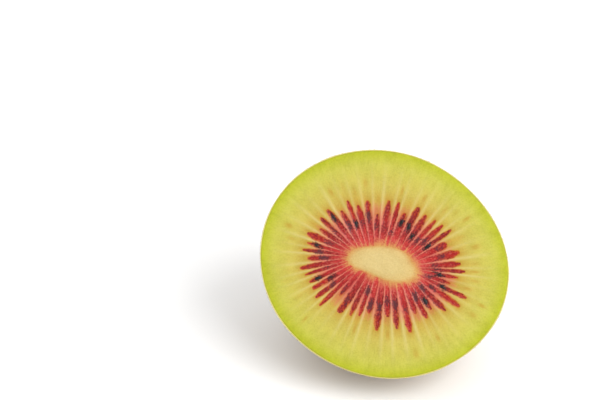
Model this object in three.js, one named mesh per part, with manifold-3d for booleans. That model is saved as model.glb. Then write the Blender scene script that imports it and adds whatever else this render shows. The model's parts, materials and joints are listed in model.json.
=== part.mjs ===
// Half of a red-fleshed kiwi fruit, cut straight across its middle: the half with the blossom end.
// It lies on its side on a small flat spot of its skin, which tips the cut face up and forward.
// A fruit grows as one piece, so it is one solid: skin, flesh and core together.
//
// Part frame: millimetres, +Z up, the cut face looks along -Y and up. The origin is on the ground,
// under the middle of the fruit.
// Fruit frame: the cut face is the plane z = 0 and looks along +z, and the fruit's axis runs down -z.
import * as THREE from "three";
import { mergeVertices } from "three/addons/utils/BufferGeometryUtils.js";
import Module from "manifold-3d";

// Driving dimensions, in millimetres and degrees.
const MEAN_RADIUS = 25; // of the cut face, which is the fruit's widest section
const HALF_LENGTH = 34; // from the cut face to the blossom end
const TAPER_POWER = 1.8; // 2 would be half an ellipsoid; less is more pointed
const FACE_ELEVATION = 34.5; // how far the cut face looks above the horizontal
const FLAT_SPOT_DEPTH = 0.5; // how much the skin is pressed in where the fruit rests

// The section isn't round. Each lobe adds share * cos(count * (angle - turn)) to the radius: two
// lobes make it oval, and the others give it its faint corners.
const LOBES = [
  { count: 2, share: 0.058, turn: -20 },
  { count: 3, share: 0.0042, turn: -3 },
  { count: 4, share: 0.0044, turn: -9 },
  { count: 5, share: 0.0024, turn: -4 },
];

// The blossom end: a shallow round dip with the stub of the withered flower in it.
const DIP_RADIUS = 3.4;
const DIP_DEPTH = 0.5;
const STUB_RADIUS = 1.5;
const STUB_HEIGHT = 0.9;

// How finely the solid is faceted.
const STEPS_AROUND = 72;
const STEPS_ALONG = 36;
const STEPS_ACROSS_DIP = 8;
const STEPS_ACROSS_FACE = 3;

const radians = THREE.MathUtils.degToRad;
const wasm = await Module();
wasm.setup();

// The section's radius over its mean one, at an angle round the axis and a depth from 0 at the cut
// face to 1 at the blossom end, where the section has become round.
function lobedRadius(angle, depth) {
  const fading = 1 - depth * depth;
  return LOBES.reduce(
    (sum, lobe) => sum + fading * lobe.share * Math.cos(lobe.count * (angle - radians(lobe.turn))),
    1,
  );
}

// The depth, from 0 to 1, at which the taper has brought the mean radius down to this one.
function depthAtRadius(radius) {
  return (1 - (radius / MEAN_RADIUS) ** 2) ** (1 / TAPER_POWER);
}

// How far the blossom end stands out of the plain taper at this radius: a smooth dip that ends at
// DIP_RADIUS, and the rounded stub that stands up in its middle.
function blossomRelief(radius) {
  const dip = DIP_DEPTH * Math.cos((Math.PI / 2) * Math.min(1, radius / DIP_RADIUS)) ** 2;
  const stub = STUB_HEIGHT * Math.sqrt(1 - Math.min(1, radius / STUB_RADIUS) ** 2);
  return stub - dip;
}

// The fruit's outline from the axis at the blossom end to the axis at the cut face, as lathe points
// (radius, z). The points crowd towards the blossom end, where the outline turns fastest.
function outlinePoints() {
  const points = [];
  for (let i = 0; i < STEPS_ACROSS_DIP; i++) {
    const radius = (DIP_RADIUS * i) / STEPS_ACROSS_DIP;
    const z = -HALF_LENGTH * depthAtRadius(radius) - blossomRelief(radius);
    points.push(new THREE.Vector2(radius, z));
  }
  const dipAngle = Math.asin(depthAtRadius(DIP_RADIUS));
  for (let i = STEPS_ALONG; i >= 0; i--) {
    const depth = Math.sin((dipAngle * i) / STEPS_ALONG);
    const radius = MEAN_RADIUS * Math.sqrt(1 - depth ** TAPER_POWER);
    points.push(new THREE.Vector2(radius, -HALF_LENGTH * depth));
  }
  for (let i = STEPS_ACROSS_FACE - 1; i >= 0; i--) {
    points.push(new THREE.Vector2((MEAN_RADIUS * i) / STEPS_ACROSS_FACE, 0));
  }
  return points;
}

// The whole half in the fruit frame, with no flat spot: a turned body whose sections are then made
// oval, each vertex moving straight out from the axis.
function turnedHalf() {
  const geometry = new THREE.LatheGeometry(outlinePoints(), STEPS_AROUND);
  geometry.rotateX(Math.PI / 2); // a lathe turns about Y, and the fruit's axis is Z
  const position = geometry.getAttribute("position");
  for (let i = 0; i < position.count; i++) {
    const [x, y, z] = [position.getX(i), position.getY(i), position.getZ(i)];
    const stretch = lobedRadius(Math.atan2(y, x), Math.min(1, -z / HALF_LENGTH));
    position.setXYZ(i, x * stretch, y * stretch, z);
  }
  return geometry;
}

// How the fruit lies: its axis tips back until the cut face looks FACE_ELEVATION above the horizontal.
const lying = new THREE.Matrix4().makeRotationX(radians(90 - FACE_ELEVATION));

function lowestPointWhenLying(geometry) {
  const laid = geometry.clone().applyMatrix4(lying);
  laid.computeBoundingBox();
  return laid.boundingBox.min.z;
}

function toSolid(geometry) {
  const bare = geometry.clone();
  bare.deleteAttribute("normal");
  bare.deleteAttribute("uv");
  const merged = mergeVertices(bare, 1e-4);
  return new wasm.Manifold(
    new wasm.Mesh({
      numProp: 3,
      vertProperties: merged.getAttribute("position").array,
      triVerts: new Uint32Array(merged.index.array),
    }),
  );
}

function toGeometry(solid) {
  const { vertProperties, triVerts } = solid.getMesh();
  const geometry = new THREE.BufferGeometry();
  geometry.setAttribute("position", new THREE.BufferAttribute(new Float32Array(vertProperties), 3));
  geometry.setIndex(new THREE.BufferAttribute(new Uint32Array(triVerts), 1));
  geometry.computeVertexNormals();
  return geometry;
}

// The half with its flat spot: a level slab, put into the fruit frame by undoing the lying turn,
// takes off everything lower than FLAT_SPOT_DEPTH above the lowest point.
function kiwiHalfGeometry() {
  const fruit = turnedHalf();
  const slabSide = 4 * HALF_LENGTH;
  const slab = new THREE.BoxGeometry(slabSide, slabSide, slabSide);
  slab.translate(0, 0, lowestPointWhenLying(fruit) + FLAT_SPOT_DEPTH - slabSide / 2);
  slab.applyMatrix4(lying.clone().invert());
  return toGeometry(toSolid(fruit).subtract(toSolid(slab)));
}

const kiwiHalf = new THREE.Mesh(
  kiwiHalfGeometry(),
  new THREE.MeshStandardMaterial({ color: 0x9c8a45, roughness: 0.6, metalness: 0 }),
);
kiwiHalf.name = "kiwi_half";
kiwiHalf.setRotationFromMatrix(lying);

// Stands the fruit on the ground with the origin under the middle of its box.
const box = new THREE.Box3().setFromObject(kiwiHalf, true);
kiwiHalf.position.set(-(box.min.x + box.max.x) / 2, -(box.min.y + box.max.y) / 2, -box.min.z);

const part = new THREE.Group();
part.add(kiwiHalf);

export default part;
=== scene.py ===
"""Half a red-fleshed kiwi fruit, cut straight across and lying on its side, dressed for the camera.

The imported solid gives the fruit's size and place. Round it go the pieces that carry its looks: the
flesh with its rays, pulp and core, the thin skin with its fuzz, the seeds, and the withered flower.

Sizes in the classes are millimetres in the fruit's own frame: the cut face is the plane z = 0 and
looks along +z, x runs across it and y up it, and the fruit's axis runs down -z. Meshes are metres in
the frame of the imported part.
"""

import json
import logging
import math
from dataclasses import dataclass
from enum import Enum
from typing import Any, Iterable

import bpy
import numpy as np
from mathutils import Matrix, Vector


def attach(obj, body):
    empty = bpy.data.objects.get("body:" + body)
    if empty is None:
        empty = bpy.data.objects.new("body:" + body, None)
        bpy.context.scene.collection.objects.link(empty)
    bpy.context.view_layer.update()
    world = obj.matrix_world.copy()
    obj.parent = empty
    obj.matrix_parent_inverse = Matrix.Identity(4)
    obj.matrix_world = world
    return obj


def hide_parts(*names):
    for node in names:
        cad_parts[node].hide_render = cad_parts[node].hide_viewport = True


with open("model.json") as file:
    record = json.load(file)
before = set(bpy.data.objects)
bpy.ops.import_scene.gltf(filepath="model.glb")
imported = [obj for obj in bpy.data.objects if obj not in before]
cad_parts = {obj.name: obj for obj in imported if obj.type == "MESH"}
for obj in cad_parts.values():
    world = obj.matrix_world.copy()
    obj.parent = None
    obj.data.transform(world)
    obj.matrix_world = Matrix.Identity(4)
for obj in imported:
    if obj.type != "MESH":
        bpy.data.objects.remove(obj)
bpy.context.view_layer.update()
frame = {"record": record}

LOG = logging.getLogger("kiwi")
MM = 0.001
FULL_TURN = 2 * math.pi
BODY = "root"
NODE = "kiwi_half"

Levels = tuple[int, int, int]  # a colour's sRGB levels, from 0 to 255

MAP_MIDDLE = 0.45  # where a piece's visible side lies on its UV map
MAP_CORNER = 0.935  # where its hidden side lies
MAP_CORNER_RADIUS = 0.05  # how large the hidden side is there


# ---------------------------------------------------------------------------------------------
# Plain mathematics
# ---------------------------------------------------------------------------------------------


def smoothstep(low: float, high: float, value: np.ndarray) -> np.ndarray:
    """Rises smoothly from 0 where value is low to 1 where it is high: 3s^2 - 2s^3 of its share s.

    Args:
        low: where the rise starts.
        high: where it ends.
        value: the values to ease.
    """
    share = np.clip((value - low) / (high - low), 0.0, 1.0)
    return share * share * (3.0 - 2.0 * share)


def bump_at(centre: np.ndarray, width: float, value: np.ndarray) -> np.ndarray:
    """A bell of height 1 round centre: exp(-((value - centre) / width)^2)."""
    return np.exp(-(((value - centre) / width) ** 2))


def undulation(points: np.ndarray, wavelength: float, seed: int, waves: int = 24) -> np.ndarray:
    """A smooth random field over space: the sum of plane waves with random headings and phases.

    Args:
        points: positions, (..., 3).
        wavelength: the typical distance from crest to crest, in the units of points.
        seed: what the headings and phases are drawn from.
        waves: how many plane waves are added.

    Returns:
        The field at each point, with a mean of 0 and a spread of 1.
    """
    draw = np.random.default_rng(seed)
    headings = draw.normal(size=(waves, 3))
    headings /= np.linalg.norm(headings, axis=1, keepdims=True)
    pace = FULL_TURN / wavelength * draw.uniform(0.6, 1.5, size=(waves, 1))
    phases = draw.uniform(0, FULL_TURN, size=waves)
    return np.sin(points @ (headings * pace).T + phases).sum(axis=-1) * math.sqrt(2 / waves)


# ---------------------------------------------------------------------------------------------
# The fruit's form and place
# ---------------------------------------------------------------------------------------------


@dataclass(frozen=True)
class Lobe:
    """One faint wave in the fruit's section: share * cos(count * (angle - turn)) of its radius."""

    count: int
    share: float
    turn: float

    def stretch(self, angle: np.ndarray) -> np.ndarray:
        """The wave's part of the radius, at an angle round the axis in radians."""
        return self.share * np.cos(self.count * (angle - math.radians(self.turn)))


@dataclass(frozen=True)
class FruitForm:
    """The outer form of the half: an oval section that tapers to the blossom end."""

    mean_radius: float = 25.0
    half_length: float = 34.0
    taper_power: float = 1.8
    lobes: tuple[Lobe, ...] = (
        Lobe(2, 0.058, -20),
        Lobe(3, 0.0042, -3),
        Lobe(4, 0.0044, -9),
        Lobe(5, 0.0024, -4),
    )
    dip_radius: float = 3.4
    dip_depth: float = 0.5

    def lobed(self, angle: np.ndarray, depth: np.ndarray) -> np.ndarray:
        """The section's radius over its mean one. The lobes fade as 1 - depth^2 towards the end."""
        return 1.0 + (1.0 - depth**2) * sum(lobe.stretch(angle) for lobe in self.lobes)

    def rim(self, angle: np.ndarray) -> np.ndarray:
        """The radius of the cut face at an angle."""
        return self.mean_radius * self.lobed(angle, np.zeros_like(angle))

    def surface(
        self, angle: np.ndarray, depth: np.ndarray, inset: float = 0.0, end_inset: float = 0.0
    ) -> np.ndarray:
        """Points of the outside, or of a surface a little inside it.

        The radius is mean_radius * sqrt(1 - depth^taper_power) times the lobes, and z is
        -half_length * depth. The dip is a raised cosine round the blossom end.

        Args:
            angle: angle round the axis.
            depth: 0 at the cut face, 1 at the blossom end.
            inset: how far inside the outside the surface runs.
            end_inset: how much further inside it runs at the blossom end.

        Returns:
            Positions, (..., 3).
        """
        angle, depth = np.broadcast_arrays(angle, depth)
        taper = np.sqrt(np.clip(1.0 - depth**self.taper_power, 0.0, 1.0))
        plain = self.mean_radius * taper
        radius = (self.mean_radius - inset) * taper * self.lobed(angle, depth)
        dip = self.dip_depth * np.cos(math.pi / 2 * np.clip(plain / self.dip_radius, 0, 1)) ** 2
        z = -(self.half_length - inset - end_inset) * depth + dip
        return np.stack([radius * np.cos(angle), radius * np.sin(angle), z], axis=-1)


class CutFrame:
    """Where the fruit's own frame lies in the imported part's frame."""

    def __init__(self, record: dict[str, Any]) -> None:
        """Reads the cut face's place and direction from the record's mount of that name."""
        mount = next(m for m in record["mounts"] if m["name"] == "cut_face")
        self.centre = np.array(mount["pos_m"])
        self.out = np.array(mount["axis"]) / np.linalg.norm(mount["axis"])
        self.across = np.array([1.0, 0.0, 0.0])
        self.up = np.cross(self.out, self.across)

    @property
    def elevation(self) -> float:
        """How far the cut face looks above the horizontal, in radians."""
        return math.asin(self.out[2])

    def place(self, points: np.ndarray, clearance: float = 0.0) -> np.ndarray:
        """Turns fruit-frame millimetres into part-frame metres, pressed flat on the ground.

        What would lie lower than clearance above the ground is lifted to it, along a smooth curve:
        half the sum of the height h above that level and sqrt(h^2 + 4 * ease^2).

        Args:
            points: positions, (..., 3).
            clearance: how far above the ground the flattened part lies, in millimetres.

        Returns:
            Positions in the part's frame, (..., 3).
        """
        placed = self.centre + MM * (points @ np.stack([self.across, self.up, self.out]))
        level, ease = clearance * MM, 0.06 * MM
        height = placed[..., 2] - level
        placed[..., 2] = level + 0.5 * (height + np.sqrt(height**2 + 4 * ease**2))
        return placed


@dataclass
class RingSurface:
    """A closed surface: rings of points between two poles, or many such surfaces of one kind.

    Seen from outside the first pole, each ring's points run counterclockwise, which makes every
    face look outwards.
    """

    first: np.ndarray
    rings: np.ndarray
    last: np.ndarray

    def __post_init__(self) -> None:
        """Gives a single surface the same (copies, rows, columns, 3) shape as many."""
        if self.rings.ndim == 3:
            self.first, self.rings, self.last = self.first[None], self.rings[None], self.last[None]
        self.copies, self.rows, self.columns = self.rings.shape[:3]

    def gather(self, first: np.ndarray, rings: np.ndarray, last: np.ndarray) -> np.ndarray:
        """Lays values out in vertex order: each copy's first pole, its rings, then its last pole.

        Args:
            first: the value at the first pole.
            rings: the value at each ring point.
            last: the value at the last pole.

        Returns:
            One row of numbers for each vertex.
        """
        width = rings.reshape(self.copies, self.rows * self.columns, -1).shape[2]
        parts = [
            np.broadcast_to(np.asarray(first, dtype=float), (self.copies, width))[:, None],
            rings.reshape(self.copies, self.rows * self.columns, width),
            np.broadcast_to(np.asarray(last, dtype=float), (self.copies, width))[:, None],
        ]
        return np.concatenate(parts, axis=1).reshape(-1, width)

    def corners(self) -> tuple[np.ndarray, np.ndarray]:
        """The faces: a fan round each pole, and quads between neighbouring rings.

        Returns:
            Every face's corners one after another as vertex numbers, and where each face starts.
        """
        here = 1 + np.arange(self.columns)
        beside = np.roll(here, -1)
        row = self.columns * np.arange(self.rows - 1)[:, None]
        below = row + self.columns
        quads = np.stack([row + here, below + here, below + beside, row + beside])
        quads = quads.transpose(1, 2, 0).reshape(-1, 4)
        end = self.columns * (self.rows - 1)
        pole = self.columns * self.rows + 1
        fan = np.stack([np.zeros_like(here), here, beside], axis=-1)
        last_fan = np.stack([np.full_like(here, pole), end + beside, end + here], axis=-1)
        single = np.concatenate([fan.ravel(), quads.ravel(), last_fan.ravel()])
        sizes = np.concatenate([np.full(len(fan), 3), np.full(len(quads), 4), np.full(len(fan), 3)])
        offsets = (pole + 1) * np.arange(self.copies)[:, None]
        starts = np.concatenate([[0], np.cumsum(np.tile(sizes, self.copies))[:-1]])
        return (single + offsets).ravel(), starts

    def to_object(self, name: str) -> bpy.types.Object:
        """Makes the mesh and its object, smooth shaded.

        Args:
            name: what both are called.
        """
        mesh = bpy.data.meshes.new(name)
        points = self.gather(self.first, self.rings, self.last)
        corners, starts = self.corners()
        mesh.vertices.add(len(points))
        mesh.vertices.foreach_set("co", points.ravel())
        mesh.loops.add(len(corners))
        mesh.loops.foreach_set("vertex_index", corners)
        mesh.polygons.add(len(starts))
        mesh.polygons.foreach_set("loop_start", starts)
        mesh.polygons.foreach_set("use_smooth", np.ones(len(starts), dtype=bool))
        mesh.update(calc_edges=True)
        mesh.validate()
        piece = bpy.data.objects.new(name, mesh)
        bpy.context.scene.collection.objects.link(piece)
        return piece

    def tag(
        self, piece: bpy.types.Object, name: str, rings: np.ndarray, first: Any = 0.0, last: Any = 0.0
    ) -> None:
        """Gives the piece's vertices an attribute that its finish reads.

        Args:
            piece: what to_object made.
            name: the attribute's name.
            rings: its value at each ring point: one number, or three for a vector.
            first: its value at the first pole.
            last: its value at the last pole.
        """
        values = self.gather(first, rings, last)
        kind, key = ("FLOAT", "value") if values.shape[1] == 1 else ("FLOAT_VECTOR", "vector")
        layer = piece.data.attributes.new(name, kind, "POINT")
        layer.data.foreach_set(key, values.ravel())

    def unwrap(
        self, piece: bpy.types.Object, near: np.ndarray, far: np.ndarray, seam_row: int
    ) -> None:
        """Gives the piece a UV map of two islands, split along one ring.

        Args:
            piece: what to_object made.
            near: the map for faces before the seam, at each vertex in gather's order.
            far: the map for faces after it.
            seam_row: the ring that is the seam.
        """
        corners, starts = self.corners()
        last_near_face = self.columns * (seam_row + 1)
        is_near = np.arange(len(corners)) < starts[last_near_face]
        places = np.where(is_near[:, None], near[corners], far[corners])
        layer = piece.data.uv_layers.new(name="OFBake")
        layer.data.foreach_set("uv", places.ravel())


# ---------------------------------------------------------------------------------------------
# Finishes
# ---------------------------------------------------------------------------------------------


STUDIO_LIGHT = 1.50  # how much light falls on the cut face; 1 would show a white surface as white
STUDIO_GLOSS = 0.031  # how much white light the moist surface mirrors on top of its own colour
DARKEST = 0.002


def seen(red: int, green: int, blue: int) -> tuple[float, float, float, float]:
    """The surface colour that looks like these sRGB levels, from 0 to 255, in the studio's light.

    The levels are made linear, what the surface mirrors is taken off, and the rest is divided by the
    light.
    """
    levels = np.array([red, green, blue]) / 255.0
    linear = np.where(levels <= 0.04045, levels / 12.92, ((levels + 0.055) / 1.055) ** 2.4)
    own = np.maximum((linear - STUDIO_GLOSS) / STUDIO_LIGHT, DARKEST)
    return (*(float(level) for level in own), 1.0)


class Value:
    """A number that changes over a surface. Arithmetic on it adds Math nodes to its finish."""

    def __init__(self, nodes: "Nodes", socket: bpy.types.NodeSocket) -> None:
        """Wraps one output socket."""
        self.nodes = nodes
        self.socket = socket

    def _math(self, operation: str, *operands: "Value | float") -> "Value":
        """Adds one Math node."""
        return self.nodes.add("ShaderNodeMath", {"operation": operation}, dict(enumerate(operands)))

    def __add__(self, other: "Value | float") -> "Value":
        """self + other."""
        return self._math("ADD", self, other)

    def __radd__(self, other: float) -> "Value":
        """other + self."""
        return self._math("ADD", other, self)

    def __sub__(self, other: "Value | float") -> "Value":
        """self - other."""
        return self._math("SUBTRACT", self, other)

    def __rsub__(self, other: float) -> "Value":
        """other - self."""
        return self._math("SUBTRACT", other, self)

    def __mul__(self, other: "Value | float") -> "Value":
        """self * other."""
        return self._math("MULTIPLY", self, other)

    def __rmul__(self, other: float) -> "Value":
        """other * self."""
        return self._math("MULTIPLY", other, self)

    def __pow__(self, other: "Value | float") -> "Value":
        """self to the power of other."""
        return self._math("POWER", self, other)

    def kept(self) -> "Value":
        """The value held between 0 and 1."""
        return self._math("MINIMUM", self._math("MAXIMUM", self, 0.0), 1.0)

    def eased(self, low: float, high: float) -> "Value":
        """Rises smoothly from 0 where the value is low to 1 where it is high."""
        return self.nodes.add(
            "ShaderNodeMapRange",
            {"interpolation_type": "SMOOTHSTEP"},
            {"Value": self, "From Min": low, "From Max": high},
        )


class Nodes:
    """The node tree of one finish."""

    def __init__(self, name: str) -> None:
        """Starts a material whose tree holds nothing."""
        self.material = bpy.data.materials.new(name)
        self.material.use_nodes = True
        self.tree = self.material.node_tree
        self.tree.nodes.clear()

    def add(
        self,
        kind: str,
        settings: dict[str, Any] | None = None,
        inputs: dict[Any, Any] | None = None,
        output: str | int = 0,
    ) -> Value:
        """Adds a node of any kind.

        Args:
            kind: the node's type.
            settings: its own settings, set first. "stops" fills a colour ramp with
                (position, colour) pairs.
            inputs: a value or a link for each input, by name or number.
            output: which output to hand back.
        """
        node = self.tree.nodes.new(kind)
        for key, setting in (settings or {}).items():
            if key == "stops":
                self._fill(node.color_ramp, setting)
            else:
                setattr(node, key, setting)
        for key, value in (inputs or {}).items():
            if isinstance(value, Value):
                self.tree.links.new(value.socket, node.inputs[key])
            else:
                node.inputs[key].default_value = value
        return Value(self, node.outputs[output])

    @staticmethod
    def _fill(ramp: bpy.types.ColorRamp, stops: Iterable[tuple[float, tuple[float, ...]]]) -> None:
        """Sets a ramp's stops."""
        for number, (position, colour) in enumerate(stops):
            stop = ramp.elements[number] if number < 2 else ramp.elements.new(position)
            stop.position = position
            stop.color = colour

    def here(self) -> Value:
        """The place on the object, in millimetres."""
        place = self.add("ShaderNodeTexCoord", output="Object")
        return self.add("ShaderNodeVectorMath", {"operation": "SCALE"}, {0: place, "Scale": 1 / MM})

    def tagged(self, name: str) -> Value:
        """A number that the piece's vertices carry."""
        return self.add("ShaderNodeAttribute", {"attribute_name": name}, output="Fac")

    def tagged_vector(self, name: str) -> Value:
        """A vector that the piece's vertices carry."""
        return self.add("ShaderNodeAttribute", {"attribute_name": name}, output="Vector")

    def noise(self, place: Value, size: float, detail: float = 3.0, warp: float = 0.0) -> Value:
        """Cloudy noise about 0.5, whose clouds are size across in the units of place."""
        return self.add(
            "ShaderNodeTexNoise",
            {"noise_dimensions": "3D"},
            {"Vector": place, "Scale": 1 / size, "Detail": detail, "Distortion": warp},
        )

    def spots(self, place: Value, size: float) -> Value:
        """The distance to the nearest of many scattered points that lie size apart, over size."""
        return self.add(
            "ShaderNodeTexVoronoi", {"feature": "F1"}, {"Vector": place, "Scale": 1 / size}
        )

    def mix(self, low: Any, high: Any, share: Value | float, blend: str = "MIX") -> Value:
        """A colour between two: low where share is 0 and high where it is 1."""
        return self.add(
            "ShaderNodeMix",
            {"data_type": "RGBA", "blend_type": blend, "clamp_factor": True},
            {0: share, 6: low, 7: high},
            output=2,
        )

    def ramp(self, along: Value, stops: Iterable[tuple[float, tuple[float, ...]]]) -> Value:
        """A colour that runs through the stops."""
        return self.add("ShaderNodeValToRGB", {"stops": stops}, {"Fac": along})

    def bumped(self, height: Value, depth: float) -> Value:
        """A normal bent as if the surface stood height * depth millimetres proud."""
        return self.add("ShaderNodeBump", None, {"Height": height, "Distance": depth * MM}, "Normal")

    def finish(self, **sockets: Any) -> bpy.types.Material:
        """Adds the surface shader, whose sockets are named with _ for a space, and the output."""
        inputs = {name.replace("_", " "): value for name, value in sockets.items()}
        surface = self.add("ShaderNodeBsdfPrincipled", {"subsurface_method": "RANDOM_WALK"}, inputs)
        self.add_output(surface)
        return self.material

    def add_output(self, surface: Value) -> None:
        """Joins a shader to the material's output."""
        output = self.tree.nodes.new("ShaderNodeOutputMaterial")
        self.tree.links.new(surface.socket, output.inputs["Surface"])


class Slot(Enum):
    """The record's material slots."""

    SKIN = "skin"
    FLESH = "flesh"
    SEED = "seed"


@dataclass(frozen=True)
class FleshFinish:
    """Moist translucent flesh: a cream core, red pulp between pale rays, and a green rim."""

    core: Levels = (238, 213, 146)
    core_side: Levels = (235, 204, 134)
    core_edge: Levels = (228, 172, 100)
    flush: Levels = (222, 96, 90)
    flush_end: Levels = (222, 134, 96)
    amber: Levels = (215, 182, 84)
    wall: Levels = (221, 204, 101)
    wall_end: Levels = (218, 213, 96)
    rim: Levels = (203, 207, 58)
    pulp_inner: Levels = (230, 82, 78)
    pulp: Levels = (198, 36, 40)
    pulp_side: Levels = (174, 32, 34)
    pulp_tip: Levels = (192, 52, 30)
    pulp_deep: Levels = (104, 18, 28)
    pulp_fleck: Levels = (226, 122, 104)
    halo: Levels = (208, 104, 50)
    ray_inner: Levels = (232, 152, 122)
    ray: Levels = (234, 220, 146)
    haze: Levels = (96, 62, 66)
    dark: Levels = (62, 26, 36)
    streak: Levels = (200, 146, 40)

    def make(self) -> bpy.types.Material:
        """Makes the material.

        It reads what the flesh's vertices carry: reach along a ray, from -1 in the middle of the core
        through 0 at its edge to 1 at the skin; pulp, heart, ray, streak, haze and dark, from 0 to 1;
        tone, how deep the pulp's red is; and flow, which is smooth round the fruit, so that noise in
        it stretches along the rays.
        """
        nodes = Nodes("flesh_moist")
        here = nodes.here()
        reach = nodes.tagged("reach")
        clouds = nodes.noise(here, 3.0, 4.0)
        grain = nodes.noise(here, 0.30, 2.0)
        fibre = nodes.noise(nodes.tagged_vector("flow"), 1.1, 3.0)
        fine_fibre = nodes.noise(nodes.tagged_vector("flow"), 0.42, 2.0)

        ground = self.ground(nodes, reach, clouds, grain, fibre, fine_fibre)
        red = self.red(nodes, here, reach, grain, fine_fibre)
        pulp = nodes.tagged("pulp")
        ragged = pulp + (fine_fibre - 0.5) * 1.7 + (grain - 0.5) * 1.7
        halo = pulp.eased(0.0, 0.45) * reach.eased(0.22, 0.42)
        colour = nodes.mix(ground, seen(*self.halo), halo * 0.9)
        colour = nodes.mix(colour, red, ragged.eased(0.18, 0.92) * pulp.eased(0.02, 0.3))
        speckle = (grain - 0.5) * 1.8 + (fine_fibre - 0.5) * 0.8
        for name, shade in (("haze", self.haze), ("dark", self.dark)):
            smudge = nodes.tagged(name)
            shown = (smudge + speckle).eased(0.15, 0.9) * smudge.eased(0.02, 0.3)
            colour = nodes.mix(colour, seen(*shade), shown * 0.9)

        height = grain * 0.4 + fine_fibre * 0.6
        return nodes.finish(
            Base_Color=colour,
            Roughness=0.36 + 0.16 * grain - 0.08 * pulp,
            Normal=nodes.bumped(height, 0.05),
            IOR=1.36,
            Subsurface_Weight=0.15,
            Subsurface_Radius=(1.0, 0.6, 0.25),
            Subsurface_Scale=1.0 * MM,
        )

    def ground(
        self, nodes: Nodes, reach: Value, clouds: Value, grain: Value, fibre: Value, fine_fibre: Value
    ) -> Value:
        """The colour under the pulp: the core, the flush round it, the pale wall and the green rim."""
        waver = (clouds - 0.5) * 0.09 + (fibre - 0.5) * 0.16
        fade = (1.0 - reach.eased(0.5, 0.9)) * 0.7 + 0.3
        along = (reach + waver * fade) * 0.5 + 0.5
        ground = nodes.ramp(
            along,
            (
                (0.00, seen(*self.core)),
                (0.25, seen(*self.core)),
                (0.41, seen(*self.core_side)),
                (0.49, seen(*self.core_edge)),
                (0.545, seen(*self.flush)),
                (0.62, seen(*self.flush)),
                (0.68, seen(*self.flush_end)),
                (0.735, seen(*self.amber)),
                (0.81, seen(*self.wall)),
                (0.925, seen(*self.wall_end)),
                (0.99, seen(*self.rim)),
            ),
        )
        deeper = nodes.mix(ground, ground, 1.0, "MULTIPLY")
        mottle = (grain - 0.5) * 1.6 + (clouds - 0.5) * 1.1 + (fibre - 0.5) * 0.8 + 0.5
        ground = nodes.mix(ground, deeper, mottle.kept() * 0.42 - 0.10)
        streak = nodes.tagged("streak") * (0.3 + 1.2 * fine_fibre)
        ground = nodes.mix(ground, seen(*self.streak), streak.kept())
        tint = nodes.mix(seen(*self.ray_inner), seen(*self.ray), reach.eased(0.25, 0.5))
        ray = nodes.tagged("ray") * (0.35 + 1.2 * fine_fibre)
        return nodes.mix(ground, tint, ray.kept() * (1.0 - reach.eased(0.2, 0.6) * 0.4))

    def red(self, nodes: Nodes, here: Value, reach: Value, grain: Value, fine_fibre: Value) -> Value:
        """The pulp's own colour: deepest at a bar's sides, flecked, and warmer towards its tip."""
        heart = (nodes.tagged("heart") + (grain - 0.5) * 0.8).kept()
        red = nodes.mix(seen(*self.pulp_side), seen(*self.pulp), heart)
        red = nodes.mix(red, seen(*self.pulp_tip), reach.eased(0.3, 0.5) * 0.7)
        outer = (reach + (fine_fibre - 0.5) * 0.35).eased(-0.05, 0.28)
        red = nodes.mix(seen(*self.pulp_inner), red, outer)
        tone = (nodes.tagged("tone") - 0.5) * 0.8
        deep = (fine_fibre.eased(0.40, 0.66) * 0.6 + grain.eased(0.5, 0.7) * 0.5 + tone).kept()
        beyond_core = 0.35 + 0.65 * reach.eased(0.0, 0.25)
        red = nodes.mix(red, seen(*self.pulp_deep), deep * beyond_core * 0.8)
        fleck = nodes.noise(here, 0.40, 2.0).eased(0.54, 0.70)
        return nodes.mix(red, seen(*self.pulp_fleck), fleck * (0.75 - 0.35 * reach.eased(0.05, 0.3)))


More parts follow.
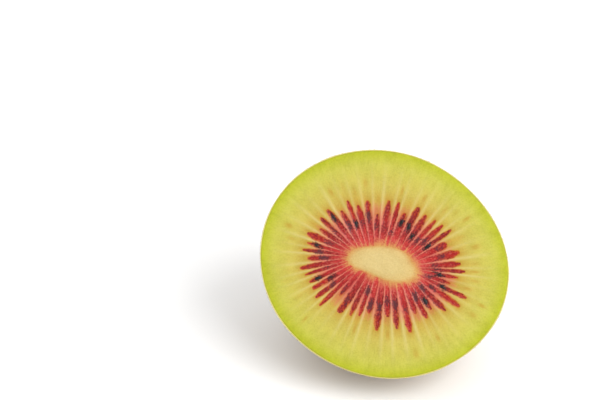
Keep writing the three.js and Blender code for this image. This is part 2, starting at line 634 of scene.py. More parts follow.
@dataclass(frozen=True)
class SkinFinish:
    """Thin satin skin, olive to tan, with pale flecks, a few dark blotches, a pale cut edge and a
    painted glow near the cut.
    """

    olive: Levels = (182, 146, 48)
    tan: Levels = (188, 148, 74)
    # painted glow: the greener tint that stands in for light passing through the thin skin near the cut
    green: Levels = (174, 154, 46)
    fleck: Levels = (226, 188, 122)
    blotch: Levels = (104, 76, 54)
    scar: Levels = (92, 66, 40)
    edge: Levels = (242, 228, 146)

    def make(self) -> bpy.types.Material:
        """Makes the material.

        It reads what the skin's vertices carry: below, the distance from the cut in millimetres;
        cut, 1 on the cut edge; and scar, 1 at the blossom end.
        """
        nodes = Nodes("skin_satin")
        here = nodes.here()
        wide = nodes.noise(here, 14.0, 3.0, 0.4)
        clouds = nodes.noise(here, 4.0, 5.0, 0.3)
        grain = nodes.noise(here, 0.5, 4.0)

        mostly = (wide * 0.6 + clouds * 0.4).eased(0.40, 0.62)
        colour = nodes.mix(seen(*self.olive), seen(*self.tan), mostly)
        # Painted glow: within about 11 mm of the cut the skin turns greener, standing in for light that
        # passes through it.
        painted_glow_near_cut = 1.0 - (nodes.tagged("below") + (clouds - 0.5) * 9.0).eased(0.0, 11.0)
        colour = nodes.mix(colour, seen(*self.green), painted_glow_near_cut * 0.75)
        deeper = nodes.mix(colour, colour, 1.0, "MULTIPLY")
        colour = nodes.mix(colour, deeper, grain.eased(0.35, 0.7) * 0.4)

        dots = 1.0 - nodes.spots(here, 1.0).eased(0.17, 0.36)
        dots = dots * clouds.eased(0.35, 0.6)
        colour = nodes.mix(colour, seen(*self.fleck), dots * 0.55)

        patches = nodes.noise(here, 2.2, 3.0, 0.3).eased(0.62, 0.72) * wide.eased(0.42, 0.58)
        colour = nodes.mix(colour, seen(*self.blotch), patches * 0.75)
        scar = (nodes.tagged("scar") + (clouds - 0.5) * 0.5).eased(0.25, 0.8)
        colour = nodes.mix(colour, seen(*self.scar), scar)
        cut = nodes.tagged("cut").eased(0.2, 0.8)
        colour = nodes.mix(colour, seen(*self.edge), cut)

        height = grain * 0.5 + dots * 0.35 - patches * 0.3 + clouds * 0.4
        return nodes.finish(
            Base_Color=colour,
            Roughness=0.45 + 0.16 * grain + 0.12 * patches - 0.08 * cut,
            Normal=nodes.bumped(height, 0.11),
            IOR=1.45,
            Subsurface_Weight=0.08,
            Subsurface_Radius=(1.0, 0.8, 0.3),
            Subsurface_Scale=0.8 * MM,
            Sheen_Weight=0.26,
            Sheen_Roughness=0.45,
            Sheen_Tint=seen(230, 215, 160),
        )


@dataclass(frozen=True)
class SeedFinish:
    """A glossy dark brown seed coat, finely pitted."""

    dark: Levels = (46, 36, 38)
    brown: Levels = (98, 52, 52)

    def make(self) -> bpy.types.Material:
        """Makes the material."""
        nodes = Nodes("seed_coat")
        here = nodes.here()
        patches = nodes.noise(here, 0.6, 3.0)
        pits = nodes.spots(here, 0.12)
        colour = nodes.mix(seen(*self.dark), seen(*self.brown), patches.eased(0.5, 0.75) * 0.7)
        return nodes.finish(
            Base_Color=colour,
            Roughness=0.28 + 0.2 * patches,
            Normal=nodes.bumped(pits, 0.02),
            IOR=1.38,
        )


@dataclass(frozen=True)
class DryFinish:
    """Dry plant matter: skin hairs or withered flower parts."""

    name: str
    pale: Levels
    dark: Levels
    patch: float

    def make(self) -> bpy.types.Material:
        """Makes the material."""
        nodes = Nodes(self.name)
        here = nodes.here()
        patches = nodes.noise(here, self.patch, 3.0)
        colour = nodes.mix(seen(*self.dark), seen(*self.pale), patches.eased(0.35, 0.65))
        return nodes.finish(
            Base_Color=colour,
            Roughness=0.62 + 0.2 * patches,
            Normal=nodes.bumped(patches, 0.05),
        )


# ---------------------------------------------------------------------------------------------
# The fruit's pieces
# ---------------------------------------------------------------------------------------------


class Piece:
    """What all the fruit's pieces have in common."""

    def dress(
        self, piece: bpy.types.Object, material: bpy.types.Material, slot: Slot
    ) -> bpy.types.Object:
        """Gives a piece its finish, and lets it ride with the fruit."""
        piece.data.materials.append(material)
        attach(piece, BODY)
        return piece


@dataclass
class Rays:
    """The fan of rays on the cut face, and the pulp that lies between them.

    A ray runs straight from the core's edge to the skin. Its reach is 0 at the core's edge and 1 at
    the skin, and inside the core reach falls to -1 in the middle. Between two rays lies a chamber of
    pulp, across which the place runs from -1 to 1.
    """

    form: FruitForm
    chambers: int = 47
    steps: int = 12
    core_centre: tuple[float, float] = (-0.33, 0.29)
    core_half_length: float = 7.6
    core_half_width: float = 3.5
    core_turn: float = -12.0
    core_waves: tuple[Lobe, ...] = (Lobe(1, 0.05, 0), Lobe(3, 0.08, 76), Lobe(5, 0.03, 70))
    seed: int = 11

    def __post_init__(self) -> None:
        """Draws how the chambers differ: width, tip, breadth of pulp, lean, waver and tone."""
        draw = np.random.default_rng(self.seed)
        width = 1.0 + 0.20 * np.clip(draw.normal(size=self.chambers), -1.6, 1.6)
        walls = np.concatenate([[0.0], np.cumsum(width)]) / width.sum() * FULL_TURN
        self.walls = walls
        self.middle = 0.5 * (walls[:-1] + walls[1:])
        spread = np.clip(draw.normal(size=self.chambers), -1.8, 1.8)
        swing = np.cos(2 * (self.middle - math.radians(self.core_turn)))
        self.tip = 0.470 + 0.02 * swing + 0.064 * spread
        self.breadth = draw.uniform(0.54, 0.82, size=self.chambers)
        self.lean = draw.uniform(-0.25, 0.25, size=self.chambers)
        self.taper = draw.uniform(0.04, 0.12, size=self.chambers)
        self.waver = draw.uniform(0.02, 0.10, size=self.chambers)
        self.phase = draw.uniform(0, FULL_TURN, size=(2, self.chambers))
        self.tone = draw.uniform(0.15, 0.95, size=self.chambers)
        self.wall_strength = draw.uniform(0.35, 1.0, size=self.chambers)
        self.streak_at = draw.uniform(0.10, 0.24, size=self.chambers)
        self.streak_strength = draw.uniform(-0.5, 1.0, size=self.chambers).clip(0.0)

        step = np.arange(self.chambers * self.steps)
        self.chamber = step // self.steps
        share = (step % self.steps) / self.steps
        self.across = 2.0 * share - 1.0
        self.angle = walls[self.chamber] + share * np.diff(walls)[self.chamber]

    def core_edge(self, angle: np.ndarray) -> np.ndarray:
        """The core's outline: an ellipse with a few faint waves, turned by core_turn."""
        turn = math.radians(self.core_turn)
        local = angle - turn
        wave = 1.0 + sum(lobe.stretch(local) for lobe in self.core_waves)
        x = self.core_half_length * np.cos(local) * wave
        y = self.core_half_width * np.sin(local) * wave
        return np.stack(
            [
                self.core_centre[0] + x * math.cos(turn) - y * math.sin(turn),
                self.core_centre[1] + x * math.sin(turn) + y * math.cos(turn),
            ],
            axis=-1,
        )

    def point(self, angle: np.ndarray, reach: np.ndarray, inset: float = 0.0) -> np.ndarray:
        """Points of the flat cut face: straight from core edge to rim, or shrunk into the core.

        Args:
            angle: the ray's angle, in radians.
            reach: how far along the ray, from -1 to 1.
            inset: how far inside the skin's outside the rays end.
        """
        edge = self.core_edge(angle)
        heading = np.stack([np.cos(angle), np.sin(angle)], axis=-1)
        rim = (self.form.rim(angle) - inset)[..., None] * heading
        outward = edge + np.clip(reach, 0.0, 1.0)[..., None] * (rim - edge)
        middle = np.array(self.core_centre)
        inward = middle + (1.0 + np.clip(reach, -1.0, 0.0))[..., None] * (edge - middle)
        flat = np.where((reach > 0.0)[..., None], outward, inward)
        return np.concatenate([flat, np.zeros_like(flat[..., :1])], axis=-1)

    def pulp_centre(self, chamber: np.ndarray, reach: np.ndarray) -> np.ndarray:
        """Where the middle of a chamber's pulp lies across it: a lean and a slow wave."""
        wave = np.sin(9.0 * reach + self.phase[0][chamber])
        return self.lean[chamber] * reach + self.waver[chamber] * wave

    def pulp(
        self, chamber: np.ndarray, across: np.ndarray, reach: np.ndarray
    ) -> tuple[np.ndarray, np.ndarray]:
        """Where the red pulp is: a bar of even width, slightly ragged, that narrows to its tip.

        The chambers widen outwards as the rays fan out, so the bar's share of its chamber falls as
        1 over the distance from the middle of the fruit, which grows evenly with the reach. Near
        the tip it also falls as the square root of what is left of the taper.

        Args:
            chamber: the chamber's number.
            across: the place across the chamber, from -1 to 1.
            reach: how far along the ray.

        Returns:
            How much of the surface is pulp, and how near it is to the middle of its bar.
        """
        ragged = 1.0 + 0.10 * np.sin(31.0 * reach + self.phase[1][chamber])
        ragged += 0.07 * np.sin(83.0 * reach + 3.0 * self.phase[0][chamber])
        fan = 0.454 / (0.22 + 0.78 * np.clip(reach, 0.0, 1.0))
        to_tip = np.clip((self.tip[chamber] - reach) / self.taper[chamber], 0.0, 1.0)
        narrowing = to_tip**0.5
        half_width = np.minimum(self.breadth[chamber] * fan * ragged, 0.86) * narrowing
        offset = np.abs(across - self.pulp_centre(chamber, reach))
        inside = 1.0 - smoothstep(-0.34, 0.30, offset - half_width)
        start = smoothstep(-0.06, 0.11, reach - 0.04 * np.sin(self.phase[1][chamber]))
        heart = 1.0 - smoothstep(0.15, 0.85, offset / np.maximum(half_width, 0.05))
        return inside * start * (narrowing > 0), heart * start

    def ray(self, chamber: np.ndarray, across: np.ndarray, reach: np.ndarray) -> np.ndarray:
        """The pale line of a wall between two chambers, strongest beyond the pulp."""
        line = bump_at(1.0, 0.28 - 0.10 * smoothstep(0.5, 0.0, reach), np.abs(across))
        span = smoothstep(0.0, 0.16, reach) * (1.0 - smoothstep(0.50, 0.95, reach))
        neighbour = np.where(across < 0, chamber, (chamber + 1) % self.chambers)
        return line * span * self.wall_strength[neighbour]

    def streak(self, chamber: np.ndarray, across: np.ndarray, reach: np.ndarray) -> np.ndarray:
        """The amber glow just past each tip, and a faint amber streak further out."""
        tip = self.tip[chamber]
        band = 1.0 - smoothstep(0.35, 0.95, np.abs(across))
        glow = np.exp(-np.clip(reach - tip, 0.0, None) / 0.04) * smoothstep(-0.08, 0.0, reach - tip)
        mark = bump_at(tip + self.streak_at[chamber], 0.05, reach)
        narrow = 1.0 - smoothstep(0.1, 0.5, np.abs(across - self.lean[chamber]))
        return band * 0.5 * glow + narrow * 0.6 * mark * self.streak_strength[chamber]


@dataclass
class SeedBed:
    """Where the seeds lie: the open ones, and those buried just under the cut, by chance.

    An open seed's place is its angle round the fruit in degrees, and how far out it is, from 0 in the
    middle to 1 at the skin. A bar that holds an open seed is lengthened where it has to be, so that
    its tip lies at least seed_margin beyond the seed's middle.
    """

    rays: Rays
    open_places: tuple[tuple[float, float], ...] = (
        (130, 0.40),
        (140, 0.55),
        (165, 0.55),
        (195, 0.55),
        (195, 0.45),
        (70, 0.40),
        (55, 0.40),
        (45, 0.35),
        (25, 0.40),
        (-10, 0.45),
        (-20, 0.50),
        (-40, 0.45),
    )
    buried_count: int = 30
    buried_span: tuple[float, float] = (0.13, 0.36)
    buried_margin: float = 0.10
    seed_margin: float = 0.12
    seed: int = 5

    def __post_init__(self) -> None:
        """Puts each seed in the middle of its chamber's pulp."""
        draw = np.random.default_rng(self.seed)
        open_chamber, open_reach = self.nearest(np.array(self.open_places))
        free = np.setdiff1d(np.arange(self.rays.chambers), open_chamber)
        buried_chamber = draw.choice(free, size=self.buried_count, replace=False)
        buried_reach = draw.uniform(*self.buried_span, size=self.buried_count)
        deepest = self.rays.tip[buried_chamber] - self.buried_margin
        buried_reach = np.minimum(buried_reach, deepest)
        longest_tip = np.maximum(self.rays.tip[open_chamber], open_reach + self.seed_margin)
        self.rays.tip[open_chamber] = longest_tip
        self.chamber = np.concatenate([open_chamber, buried_chamber])
        self.reach = np.concatenate([open_reach, buried_reach])
        self.is_open = np.arange(len(self.chamber)) < len(open_chamber)
        self.across = self.rays.pulp_centre(self.chamber, self.reach)
        self.size = draw.uniform(0.88, 1.12, size=len(self.chamber))
        self.swing = draw.uniform(-0.2, 0.2, size=len(self.chamber))
        self.strength = np.where(self.is_open, 1.0, draw.uniform(0.45, 1.2, size=len(self.chamber)))

    def nearest(self, places: np.ndarray) -> tuple[np.ndarray, np.ndarray]:
        """Finds the chamber and the reach along its middle that lie nearest to each place.

        Args:
            places: an angle in degrees and a share of the radius, (count, 2).

        Returns:
            The chamber and the reach for each place.
        """
        angle = np.radians(places[:, :1])
        out = places[:, 1:] * self.rays.form.rim(angle)
        wanted = np.concatenate([out * np.cos(angle), out * np.sin(angle)], axis=1)
        reach = np.linspace(0.02, 0.6, 117)
        grid = self.rays.point(*np.broadcast_arrays(self.rays.middle[:, None], reach[None, :]))
        gap = np.linalg.norm(grid[None, ..., :2] - wanted[:, None, None], axis=-1)
        chamber, step = np.divmod(gap.reshape(len(places), -1).argmin(axis=1), len(reach))
        return chamber, reach[step]

    def angle(self) -> np.ndarray:
        """The ray angle of each seed's middle."""
        width = np.diff(self.rays.walls)[self.chamber]
        return self.rays.walls[self.chamber] + 0.5 * (1.0 + self.across) * width

    def middle(self) -> np.ndarray:
        """Each seed's middle on the flat cut face."""
        return self.rays.point(self.angle(), self.reach)

    def heading(self) -> np.ndarray:
        """The direction along the ray at each seed, turned a little either way."""
        step = 0.01
        along = self.rays.point(self.angle(), self.reach + step) - self.middle()
        along /= np.linalg.norm(along, axis=-1, keepdims=True)
        side = np.stack([-along[:, 1], along[:, 0], np.zeros(len(along))], axis=-1)
        return np.cos(self.swing)[:, None] * along + np.sin(self.swing)[:, None] * side

    def nearness(self, flat: np.ndarray, length: float, width: float) -> np.ndarray:
        """How near each point of the face is to a seed: 1 at its middle, falling as a bell.

        Args:
            flat: points of the face, (..., 3).
            length: the bell's half length along the seed.
            width: its half width across the seed.

        Returns:
            The nearness to every seed, (seeds, ...).
        """
        middle, along = self.middle(), self.heading()
        bells = []
        for centre, direction in zip(middle, along):
            offset = flat - centre
            forward = offset @ direction
            sideways = offset @ np.array([-direction[1], direction[0], 0.0])
            bells.append(np.exp(-((forward / length) ** 2) - (sideways / width) ** 2))
        return np.stack(bells)


@dataclass
class Flesh(Piece):
    """The flesh: the cut face with its relief, and the hidden back that the skin lies on."""

    form: FruitForm
    place: CutFrame
    rays: Rays
    seeds: SeedBed
    inset: float = 0.21
    back_inset: float = 0.4
    end_inset: float = 1.2
    core_rows: int = 18
    pulp_rows: int = 88
    wall_rows: int = 38
    back_rows: int = 13
    pulp_sink: float = 0.12
    core_rise: float = 0.14
    ray_rise: float = 0.05
    socket_sink: float = 0.10
    rim_round: float = 0.01
    socket: tuple[float, float] = (1.05, 0.55)
    smudge: tuple[float, float] = (1.3, 0.60)
    map_radius: float = 0.43

    def rows(self) -> np.ndarray:
        """The reach of each ring on the cut face, closest together where the pulp is."""
        pulp_end = 0.56
        core = np.linspace(-1.0, 0.0, self.core_rows + 1)[1:]
        pulp = np.linspace(0.0, pulp_end, self.pulp_rows + 1)[1:]
        wall = np.linspace(pulp_end, 1.0, self.wall_rows + 1)[1:]
        return np.concatenate([core, pulp, wall])

    def relief(self, flat: np.ndarray, marks: dict[str, np.ndarray], reach: np.ndarray) -> np.ndarray:
        """The height of the cut face: pulp sinks, rays and core rise, seeds sit in sockets.

        Args:
            flat: the ring points before relief.
            marks: pulp and ray, from 0 to 1, and the nearness to open seeds, as socket.
            reach: the reach at each point.
        """
        height = self.core_rise * (1.0 - smoothstep(-0.45, 0.06, reach))
        height -= self.pulp_sink * marks["pulp"] * smoothstep(0.0, 0.1, reach)
        height += self.ray_rise * marks["ray"]
        height -= self.socket_sink * marks["socket"]
        height += 0.035 * undulation(flat, 9.0, 21) + 0.012 * undulation(flat, 2.2, 22)
        return height - self.rim_round * smoothstep(0.955, 1.0, reach) ** 2

    def build(self) -> bpy.types.Object:
        """Builds and dresses the flesh."""
        rays = self.rays
        rows = self.rows()
        reach, angle = np.meshgrid(rows, rays.angle, indexing="ij")
        chamber = np.broadcast_to(rays.chamber, reach.shape)
        across = np.broadcast_to(rays.across, reach.shape)
        face = rays.point(angle, reach, self.inset)
        sockets = self.seeds.nearness(face, *self.socket)
        pulp, heart = rays.pulp(chamber, across, reach)
        marks = {
            "pulp": pulp,
            "heart": heart,
            "ray": rays.ray(chamber, across, reach),
            "streak": rays.streak(chamber, across, reach),
            "socket": sockets[self.seeds.is_open].max(axis=0),
        }
        smudges = self.seeds.nearness(face, *self.smudge) * self.seeds.strength[:, None, None]
        marks["haze"] = smudges[~self.seeds.is_open].max(axis=0)
        marks["dark"] = smudges[self.seeds.is_open].max(axis=0)
        marks["tone"] = np.where(np.abs(across) < 1.0, rays.tone[chamber], 0.5)
        face[..., 2] = self.relief(face, marks, reach)

        depth = np.sin(np.linspace(0.0, math.pi / 2, self.back_rows + 2)[1:-1])[:, None]
        inset = self.inset + self.back_inset * smoothstep(0.0, 0.1, depth)
        back = self.form.surface(rays.angle[None, :], depth, inset, self.end_inset)
        clearance = self.inset + 0.02
        centre = np.array([*rays.core_centre, self.core_rise])
        end = self.form.surface(np.zeros(1), np.ones(1), self.inset, self.end_inset)[0]
        surface = RingSurface(
            self.place.place(centre, clearance),
            self.place.place(np.concatenate([face, back]), clearance),
            self.place.place(end, clearance),
        )
        piece = surface.to_object("flesh")

        def all_rows(values: np.ndarray) -> np.ndarray:
            """Carries the rim's values on down the back."""
            return np.concatenate([values, np.repeat(values[-1:], self.back_rows, axis=0)])

        for name in ("pulp", "heart", "ray", "streak", "haze", "dark", "tone"):
            surface.tag(piece, name, all_rows(marks[name]))
        surface.tag(piece, "reach", all_rows(reach), first=-1.0, last=1.0)
        surface.tag(piece, "flow", all_rows(self.flow(angle, reach)), first=(0.0, 0.0, -4.0))
        self.unwrap(surface, piece, face, back)
        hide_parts(NODE)
        return self.dress(piece, FleshFinish().make(), Slot.FLESH)

    @staticmethod
    def flow(angle: np.ndarray, reach: np.ndarray) -> np.ndarray:
        """Coordinates in which noise makes fibres: quick round the fruit, slow along the rays.

        They are a cylinder's: its radius is round, and shrinks to nothing in the core, and its
        height is along times reach.
        """
        round_radius, along = 34.0, 8.0
        radius = round_radius * (1.0 + np.clip(reach, -1.0, 0.0))
        return np.stack([radius * np.cos(angle), radius * np.sin(angle), along * reach], axis=-1)

    def unwrap(
        self, surface: RingSurface, piece: bpy.types.Object, face: np.ndarray, back: np.ndarray
    ) -> None:
        """Lays the cut face flat on the map, and the hidden back small in a corner."""
        widest = self.form.mean_radius * 1.07
        scale = self.map_radius / widest
        flat = np.concatenate([face, back])[..., :2]
        near = surface.gather(self.rays.core_centre, flat, (0.0, 0.0)) * scale + MAP_MIDDLE
        shrink = np.concatenate([np.ones(len(face)), np.linspace(1.0, 0.05, self.back_rows)])
        outline = np.concatenate([face, np.repeat(face[-1:], self.back_rows, axis=0)])[..., :2]
        small = MAP_CORNER_RADIUS / self.form.mean_radius
        far = surface.gather((0.0, 0.0), outline * shrink[:, None, None], (0.0, 0.0)) * small
        far = far + MAP_CORNER
        surface.unwrap(piece, near, far, len(face) - 1)


@dataclass
class Skin(Piece):
    """The skin: a thin shell over the flesh, with its pale cut edge a hair proud of the face."""

    form: FruitForm
    place: CutFrame
    thickness: float = 0.20
    back_growth: float = 0.3
    columns: int = 500
    outer_rows: int = 150
    inner_rows: int = 12
    end_inset: float = 0.5
    edge_rise: float = 0.02
    scar_radii: tuple[float, float] = (1.2, 4.6)
    scar_beyond: float = 20.0
    map_radius: float = 0.44

    def outer(self, angle: np.ndarray, depth: np.ndarray) -> np.ndarray:
        """The outside, with slow swells, small dents and the puckers round the blossom end."""
        points = self.form.surface(angle, depth)
        swell = 0.10 * undulation(points, 11.0, 31) + 0.035 * undulation(points, 3.0, 32)
        swell = swell * (0.2 + 0.8 * smoothstep(0.0, 0.12, depth))
        end = smoothstep(0.90, 0.985, depth)
        swell = swell + end * 0.16 * np.sin(7.0 * angle + 3.0 * undulation(points, 9.0, 33))
        out = points / np.array([1.0, 1.0, 1.6])
        out /= np.maximum(np.linalg.norm(out, axis=-1, keepdims=True), 1e-6)
        return points + swell[..., None] * out * smoothstep(1.0, 0.97, depth)[..., None]

    def build(self) -> bpy.types.Object:
        """Builds and dresses the skin: up its inside, over the cut edge and down its outside."""
        angle = np.arange(self.columns) / self.columns * FULL_TURN
        inner_depth = np.sin(np.linspace(math.pi / 2, 0.0, self.inner_rows + 1)[1:])
        outer_depth = np.sin(np.linspace(0.0, math.pi / 2, self.outer_rows + 1)[:-1])
        inset = self.thickness + self.back_growth * smoothstep(0.0, 0.1, inner_depth[:, None])
        inner = self.form.surface(angle[None, :], inner_depth[:, None], inset, self.end_inset)
        outer = self.outer(angle[None, :], outer_depth[:, None])
        edge = 0.5 * (inner[-1] + outer[0])
        lift = self.edge_rise * (1.0 + 0.35 * undulation(edge, 3.0, 34))
        edge[:, 2] += lift
        inner[-1, :, 2] += 0.4 * lift
        outer[0, :, 2] += 0.3 * lift
        rings = np.concatenate(
            [
                self.place.place(inner, self.thickness),
                self.place.place(edge[None]),
                self.place.place(outer),
            ]
        )
        ends = self.form.surface(np.zeros(1), np.ones(1), self.thickness, self.end_inset)[0]
        tip = self.form.surface(np.zeros(1), np.ones(1))[0]
        surface = RingSurface(self.place.place(ends, self.thickness), rings, self.place.place(tip))
        piece = surface.to_object("skin")
        self.tag(surface, piece, outer, angle)
        return self.dress(piece, SkinFinish().make(), Slot.SKIN)

    def tag(
        self, surface: RingSurface, piece: bpy.types.Object, outer: np.ndarray, angle: np.ndarray
    ) -> None:
        """Tells the finish where the cut and the blossom end are, and lays the outside flat."""
        shape = (surface.rows, surface.columns)
        below, cut, scar = np.zeros(shape), np.zeros(shape), np.zeros(shape)
        edge_row = self.inner_rows
        below[edge_row + 1 :] = -outer[..., 2]
        cut[: edge_row + 1] = 1.0
        cut[edge_row + 1] = 0.6
        from_axis = np.hypot(outer[..., 0], outer[..., 1])
        near_end = outer[..., 2] < -self.scar_beyond
        scar[edge_row + 1 :] = (1.0 - smoothstep(*self.scar_radii, from_axis)) * near_end
        surface.tag(piece, "below", below, last=self.form.half_length)
        surface.tag(piece, "cut", cut)
        surface.tag(piece, "scar", scar, last=1.0)

        steps = np.linalg.norm(np.diff(outer, axis=0), axis=-1).mean(axis=1)
        to_tip = np.append(np.cumsum(steps[::-1])[::-1], 0.0) + steps[-1]
        heading = np.stack([np.cos(angle), np.sin(angle)], axis=-1)
        distance = np.zeros(surface.rows)
        distance[edge_row + 1 :] = to_tip
        distance[edge_row] = to_tip[0] + 0.5 * self.thickness
        distance[edge_row - 1] = to_tip[0] + self.thickness
        small = np.linspace(0.1, 1.0, edge_row)
        spread = self.map_radius / distance.max()
        outside = distance[:, None, None] * heading * spread
        far = surface.gather((0, 0), outside, (0, 0)) + MAP_MIDDLE
        inside = np.ones(surface.rows)
        inside[:edge_row] = small
        hidden = inside[:, None, None] * heading * MAP_CORNER_RADIUS
        near = surface.gather((0, 0), hidden, (0, 0)) + MAP_CORNER
        surface.unwrap(piece, near, far, edge_row - 1)


@dataclass
class Fuzz(Piece):
    """The short fine hairs that lie on the skin."""

    skin: Skin
    count: int = 9000
    length: tuple[float, float] = (0.35, 0.85)
    thickness: float = 0.045
    root_depth: float = 0.02
    arch: float = 0.04
    sides: int = 3
    seed: int = 8

    def build(self) -> bpy.types.Object:
        """Builds and dresses the hairs: slim cones that lean along the skin, away from the cut.

        Their depths follow the skin's area, which is nearly even along the axis near the cut and
        falls off with the radius towards the blossom end.
        """
        draw = np.random.default_rng(self.seed)
        angle = draw.uniform(0, FULL_TURN, size=4 * self.count)
        depth = draw.uniform(0.004, 0.985, size=4 * self.count)
        taper = np.sqrt(1.0 - depth**self.skin.form.taper_power)
        chosen = draw.uniform(size=4 * self.count) < taper
        angle, depth = angle[chosen][: self.count], depth[chosen][: self.count]
        count = len(angle)

        nudge = 1e-3
        base = self.skin.outer(angle, depth)
        down = self.skin.outer(angle, depth + nudge) - base
        round_way = self.skin.outer(angle + nudge, depth) - base
        down /= np.linalg.norm(down, axis=-1, keepdims=True)
        round_way /= np.linalg.norm(round_way, axis=-1, keepdims=True)
        out = np.cross(down, round_way)
        out /= np.linalg.norm(out, axis=-1, keepdims=True)
        sway = draw.normal(scale=0.7, size=(count, 1))
        stand = draw.uniform(0.15, 0.75, size=(count, 1))
        way = down + sway * round_way + stand * out
        way /= np.linalg.norm(way, axis=-1, keepdims=True)
        side = np.cross(way, out)
        side /= np.linalg.norm(side, axis=-1, keepdims=True)
        top = np.cross(side, way)

        length = draw.uniform(*self.length, size=(count, 1))
        turn = np.arange(self.sides) / self.sides * FULL_TURN
        girth = 0.5 * self.thickness * (
            np.cos(turn)[None, :, None] * side[:, None] - np.sin(turn)[None, :, None] * top[:, None]
        )
        root = base - self.root_depth * out
        middle = root + 0.55 * length * way + self.arch * out
        tip = root + length * way
        rings = np.stack([middle[:, None] + 0.7 * girth, root[:, None] + girth], axis=1)
        place = self.skin.place.place
        surface = RingSurface(place(tip), place(rings), place(root))
        piece = surface.to_object("fuzz")
        finish = DryFinish("fuzz_tan", (214, 186, 126), (164, 126, 70), 3.0)
        return self.dress(piece, finish.make(), Slot.SKIN)


@dataclass
class Seeds(Piece):
    """The open seeds, half sunk in the pulp."""

    bed: SeedBed
    place: CutFrame
    length: float = 1.95
    width: float = 0.98
    thickness: float = 0.72
    rise: float = -0.40
    rows: int = 9
    columns: int = 16

    def build(self) -> bpy.types.Object:
        """Builds and dresses the seeds.

        A seed's half length runs as cos(t) from its blunt outer end to its pointed inner one, and
        its girth as sin(t) narrowed by up to a third towards the point.
        """
        shown = self.bed.is_open
        middle = self.bed.middle()[shown] + np.array([0.0, 0.0, self.rise])
        along = self.bed.heading()[shown]
        out = np.broadcast_to(np.array([0.0, 0.0, 1.0]), along.shape)
        side = np.cross(out, along)
        size = self.bed.size[shown][:, None, None, None]

        t = (np.arange(1, self.rows + 1) / (self.rows + 1) * math.pi)[None, :, None, None]
        turn = (np.arange(self.columns) / self.columns * FULL_TURN)[None, None, :, None]
        girth = np.sin(t) * (1.0 - 0.18 * (1.0 - np.cos(t)))

        def spread(vector: np.ndarray) -> np.ndarray:
            """Lays one vector for each seed out over its rings."""
            return vector[:, None, None, :]

        offset = (
            0.5 * self.length * np.cos(t) * spread(along)
            + 0.5 * self.width * girth * np.cos(turn) * spread(side)
            + 0.5 * self.thickness * girth * np.sin(turn) * spread(out)
        )
        rings = spread(middle) + size * offset
        reach = 0.5 * self.length * size[:, 0, 0] * along
        surface = RingSurface(
            self.place.place(middle + reach), self.place.place(rings), self.place.place(middle - reach)
        )
        return self.dress(surface.to_object("seeds"), SeedFinish().make(), Slot.SEED)


@dataclass
class WitheredFlower(Piece):
    """The dry stub in the dip at the blossom end, with the last of the flower's threads."""

    form: FruitForm
    place: CutFrame
    stub_radius: float = 1.35
    stub_height: float = 0.95
    threads: int = 13
    thread_length: tuple[float, float] = (1.6, 3.0)
    thread_thickness: float = 0.22
    seed: int = 3

    def tip(self) -> np.ndarray:
        """The bottom of the dip."""
        return self.form.surface(np.zeros(1), np.ones(1))[0]

    def build(self) -> list[bpy.types.Object]:
        """Builds and dresses the stub and its threads."""
        finish = DryFinish("withered_brown", (134, 100, 60), (58, 38, 26), 0.5).make()
        pieces = [self.stub("flower_stub"), self.wisps("flower_threads")]
        return [self.dress(piece, finish, Slot.SKIN) for piece in pieces]

    def stub(self, name: str) -> bpy.types.Object:
        """A low knob: rings from a dimpled top out over fluted sides to its foot, then closed below."""
        columns = 60
        share = np.linspace(0.08, 1.0, 14)[:, None]
        turn = -np.arange(columns)[None, :] / columns * FULL_TURN
        flute = 1.0 + 0.10 * share * np.cos(9.0 * turn) + 0.06 * np.sin(4.0 * turn + 1.0)
        radius = self.stub_radius * share**0.8 * flute
        height = self.stub_height * np.sqrt(np.clip(1.0 - share**3, 0, 1)) - 0.25 * (1 - share) ** 2
        down = -height * np.ones_like(turn)
        points = np.stack([radius * np.cos(turn), radius * np.sin(turn), down], axis=-1)
        points += 0.05 * undulation(points, 0.9, 41)[..., None]
        foot = points[-1:] * np.array([0.9, 0.9, 0.0]) + np.array([0.0, 0.0, 0.5])
        tip = self.tip()
        top = tip + np.array([0.0, 0.0, -0.7 * self.stub_height])
        surface = RingSurface(
            self.place.place(top),
            self.place.place(tip + np.concatenate([points, foot])),
            self.place.place(tip + np.array([0.0, 0.0, 0.5])),
        )
        return surface.to_object(name)

    def wisps(self, name: str) -> bpy.types.Object:
        """Threads that start on the stub, bend over and taper: each follows a quarter-sine curve."""
        draw = np.random.default_rng(self.seed)
        rows, sides = 9, 6
        heading = (np.arange(self.threads) + draw.uniform(-0.35, 0.35, self.threads)) / self.threads
        heading = heading * FULL_TURN
        length = draw.uniform(*self.thread_length, size=self.threads)
        lift = draw.uniform(0.25, 0.8, size=self.threads)
        start = draw.uniform(0.35, 0.95, size=self.threads) * self.stub_radius
        twist = draw.uniform(-0.5, 0.5, size=self.threads)

        share = np.linspace(1.0, 0.0, rows + 1)[None, :]
        out = start[:, None] + length[:, None] * share * 0.85
        bend = heading[:, None] + twist[:, None] * share
        rise = 0.55 * self.stub_height + lift[:, None] * np.sin(share * math.pi * 0.9)
        path = np.stack([out * np.cos(bend), out * np.sin(bend), -rise], axis=-1)
        way = -np.gradient(path, axis=1)
        way /= np.linalg.norm(way, axis=-1, keepdims=True)
        side = np.cross(way, np.array([0.0, 0.0, 1.0]))
        side /= np.linalg.norm(side, axis=-1, keepdims=True)
        top = np.cross(way, side)
        turn = (np.arange(sides) / sides * FULL_TURN)[None, None, :, None]
        girth = 0.5 * self.thread_thickness * (1.0 - 0.75 * share)[..., None, None]
        rings = path[:, :, None] + girth * (
            np.cos(turn) * side[:, :, None] + np.sin(turn) * top[:, :, None]
        )
        tip = self.tip()
        surface = RingSurface(
            self.place.place(tip + path[:, 0] + 0.1 * way[:, 0]),
            self.place.place(tip + rings[:, 1:]),
            self.place.place(tip + path[:, -1]),
        )
        return surface.to_object(name)


# ---------------------------------------------------------------------------------------------
# The studio
# ---------------------------------------------------------------------------------------------


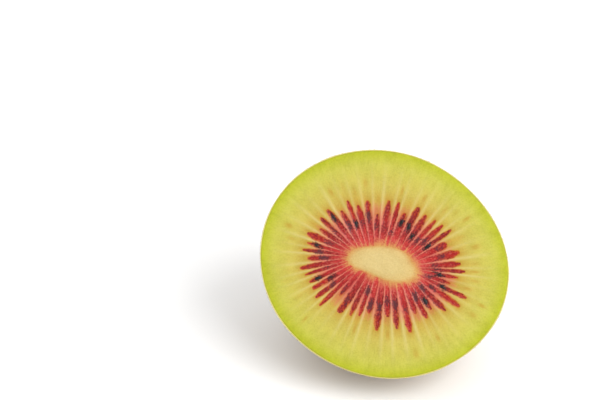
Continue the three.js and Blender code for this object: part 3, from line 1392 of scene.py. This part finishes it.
@dataclass
class Studio:
    """A plain white floor, even light all round, one large soft lamp, and the camera."""

    place: CutFrame
    floor_side: float = 6.0
    surround: float = 0.95
    key_power: float = 12.0
    key_side: float = 0.9
    key_from: tuple[float, float, float] = (0.72, -0.55, 0.80)
    distance: float = 0.5
    above_face: float = 1.5
    beside_face: float = 1.5
    face_radius: float = 25.0
    face_radius_share: float = 0.198  # of the picture's width, as the next two are
    face_right: float = 0.139
    face_down: float = 0.107
    sensor: float = 36.0

    def build(self) -> None:
        """Sets up the floor, the light and the camera."""
        self.floor()
        self.light()
        self.camera()
        bpy.context.scene.view_settings.view_transform = "Standard"

    def floor(self) -> None:
        """A wide white sheet under the fruit."""
        half = self.floor_side / 2
        mesh = bpy.data.meshes.new("floor")
        corners = [(-half, -half, 0), (half, -half, 0), (half, half, 0), (-half, half, 0)]
        mesh.from_pydata(corners, [], [(0, 1, 2, 3)])
        floor = bpy.data.objects.new("floor", mesh)
        bpy.context.scene.collection.objects.link(floor)
        nodes = Nodes("floor_white")
        floor.data.materials.append(nodes.finish(Base_Color=(0.94, 0.94, 0.94, 1.0), Roughness=0.9))

    def light(self) -> None:
        """Even white light from everywhere, and one large square lamp."""
        world = bpy.data.worlds.new("surround")
        world.use_nodes = True
        world.node_tree.nodes["Background"].inputs["Color"].default_value = (1.0, 1.0, 1.0, 1.0)
        world.node_tree.nodes["Background"].inputs["Strength"].default_value = self.surround
        bpy.context.scene.world = world
        lamp = bpy.data.lights.new("key", "AREA")
        lamp.energy = self.key_power
        lamp.size = self.key_side
        key = bpy.data.objects.new("key", lamp)
        bpy.context.scene.collection.objects.link(key)
        key.location = self.key_from
        away = Vector(self.key_from) - Vector(self.place.centre)
        key.rotation_euler = away.to_track_quat("Z", "Y").to_euler()

    def camera(self) -> None:
        """Looks at the cut face nearly head on, with the face right of the middle and below it.

        The face's middle is away from the camera's axis by a few degrees, so the axis is turned back
        by as much.
        """
        reach = self.distance * self.face_radius_share / (self.face_radius * MM)
        lens = self.sensor * reach
        elevation = self.place.elevation + math.radians(self.above_face)
        elevation -= math.atan(self.face_down / reach)
        azimuth = math.radians(self.beside_face) + math.atan(self.face_right / reach)
        back = Vector(
            (
                math.sin(azimuth) * math.cos(elevation),
                -math.cos(azimuth) * math.cos(elevation),
                math.sin(elevation),
            )
        )
        right = Vector((math.cos(azimuth), math.sin(azimuth), 0.0))
        up = back.cross(right)
        scale = self.distance / reach
        aim = Vector(self.place.centre) - right * self.face_right * scale + up * self.face_down * scale
        data = bpy.data.cameras.new("camera")
        data.sensor_width = self.sensor
        data.lens = lens
        data.clip_start = 0.01
        camera = bpy.data.objects.new("camera", data)
        bpy.context.scene.collection.objects.link(camera)
        turn = Matrix((right, up, back)).transposed().to_4x4()
        camera.matrix_world = Matrix.Translation(aim + back * self.distance) @ turn
        bpy.context.scene.camera = camera


def report(piece: bpy.types.Object) -> None:
    """Logs a piece's name and its number of faces."""
    LOG.info("%s: %d faces", piece.name, len(piece.data.polygons))


def main() -> None:
    """Builds the fruit's pieces in order, then the studio."""
    logging.basicConfig(level=logging.INFO, format="%(name)s: %(message)s")
    form = FruitForm()
    place = CutFrame(frame["record"])
    rays = Rays(form)
    bed = SeedBed(rays)
    skin = Skin(form, place)
    report(Flesh(form, place, rays, bed).build())
    report(skin.build())
    report(Fuzz(skin).build())
    report(Seeds(bed, place).build())
    for piece in WitheredFlower(form, place).build():
        report(piece)
    Studio(place).build()


if __name__ == "__main__":
    main()
